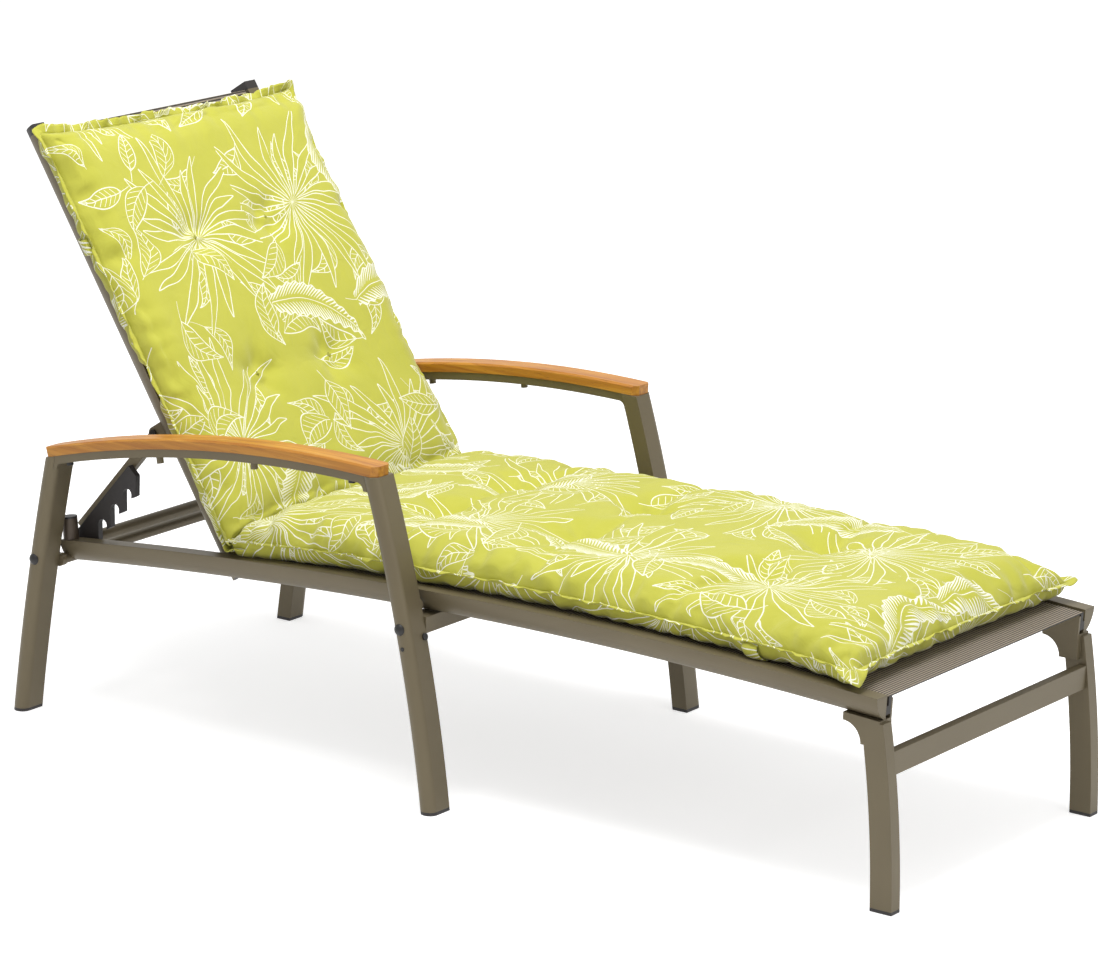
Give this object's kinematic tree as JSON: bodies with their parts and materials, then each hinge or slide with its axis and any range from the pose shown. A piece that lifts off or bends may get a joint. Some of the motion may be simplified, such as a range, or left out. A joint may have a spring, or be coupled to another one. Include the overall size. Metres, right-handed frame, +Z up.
{
  "type": "sun lounger",
  "caption": "Sun lounger with a reclining back on a notched prop, bowed side rails, timber arm rests, woven sling and a tufted leaf-print pad.",
  "frame": {"origin": "on the floor, under the middle of the lounger's bounding box with the back in its highest position", "axes": "+X along the lounger towards the foot end, +Y towards the left of a person lying on it, +Z up"},
  "size_m": [1.6594, 0.71, 0.9359],
  "materials": {
    "frame_metal": "powder-coated, satin taupe",
    "arm_timber": "oiled, straight grain",
    "black_plastic": "matt black",
    "black_fastener": "blackened",
    "steel": "plain",
    "sling_weave": "ribbed open weave, dark brown with beige ribs",
    "sling_strip": "dark brown edge strip",
    "pad_cover": "printed canvas, lime with an off-white leaf drawing"
  },
  "bodies": {
    "frame": {"side_rail_right": "frame_metal", "side_rail_left": "frame_metal", "rail_plugs": "frame_metal", "foot_leg_right": "frame_metal", "foot_leg_left": "frame_metal", "foot_leg_caps": "black_plastic", "foot_crossbar": "frame_metal", "front_leg_right": "frame_metal", "front_leg_left": "frame_metal", "rear_leg_right": "frame_metal", "rear_leg_left": "frame_metal", "leg_caps": "black_plastic", "arm_bar_right": "frame_metal", "arm_bar_left": "frame_metal", "arm_wood_right": "arm_timber", "arm_wood_left": "arm_timber", "arm_screws": "black_fastener", "front_crossbar": "frame_metal", "rear_crossbar": "frame_metal", "frame_bolts": "black_fastener", "leg_spacers": "frame_metal", "crossbar_screws": "black_fastener", "guide_post_right": "frame_metal", "guide_post_left": "frame_metal", "post_caps": "black_plastic", "seat_spreader_rear": "frame_metal", "seat_spreader_front": "frame_metal", "seat_sling": "sling_weave", "seat_strip_right": "sling_strip", "seat_strip_left": "sling_strip", "seat_cushion": "pad_cover", "hinge_pins": "steel"},
    "backrest": {"back_rail_right": "frame_metal", "back_rail_left": "frame_metal", "back_end_caps": "black_plastic", "back_tube_low": "frame_metal", "back_tube_mid": "frame_metal", "back_tube_top": "frame_metal", "hinge_bushes": "black_plastic", "back_sling": "sling_weave", "back_strip_right": "sling_strip", "back_strip_left": "sling_strip", "back_cushion": "pad_cover", "prop_bracket_right": "frame_metal", "prop_bracket_left": "frame_metal", "prop_bolts": "black_fastener"},
    "prop": {"prop_arm_right": "frame_metal", "prop_arm_left": "frame_metal", "prop_cross_tube": "frame_metal", "prop_rack_right": "black_plastic", "prop_rack_left": "black_plastic", "rack_screws": "steel"}
  },
  "joints": [
    {"name": "backrest_recline", "type": "hinge", "parent": "frame", "child": "backrest", "pos_m": [-0.40831, 0, 0.284], "axis": [0, -1, 0], "range_deg": [0, 58.8]},
    {"name": "prop_swing", "type": "hinge", "parent": "backrest", "child": "prop", "pos_m": [-0.5613, 0, 0.4711], "axis": [0, -1, 0], "range_deg": [0, 53]}
  ],
  "couplings": [
    {"joint": "prop_swing", "follows": "backrest_recline", "ratio": 0.9}
  ]
}
